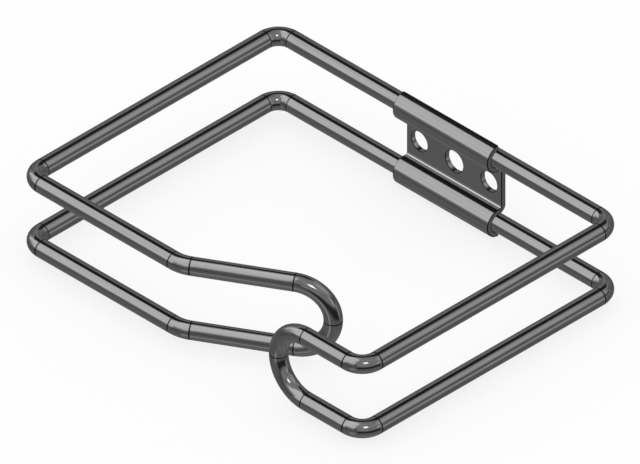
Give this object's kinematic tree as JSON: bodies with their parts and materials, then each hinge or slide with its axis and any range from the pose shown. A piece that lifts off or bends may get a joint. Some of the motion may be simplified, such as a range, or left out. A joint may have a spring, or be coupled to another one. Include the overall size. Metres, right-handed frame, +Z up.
{
  "type": "cable routing ring",
  "caption": "Open rectangular double wire ring with an inward arm and hooked ends, held on a rail by a grooved sheet-steel plate with screw holes.",
  "frame": {"origin": "middle of the mounting plate's back face, on the centre hole's axis", "axes": "+X along the rail and the ring's width, +Y out of the plate's back face at the rail, +Z up, square to the plane of the ring"},
  "size_m": [0.125, 0.095, 0.0282],
  "materials": {
    "wire": "bright zinc-plated round steel wire, drawn smooth",
    "plate": "bright zinc-plated pressed steel sheet"
  },
  "bodies": {
    "plate": {"mounting_plate": "plate"},
    "ring": {"wire_ring": "wire"}
  },
  "joints": [
    {"name": "ring_slide", "type": "slide", "parent": "plate", "child": "ring", "axis": [1, 0, 0], "range_m": [-0.0355, 0.0395]}
  ]
}
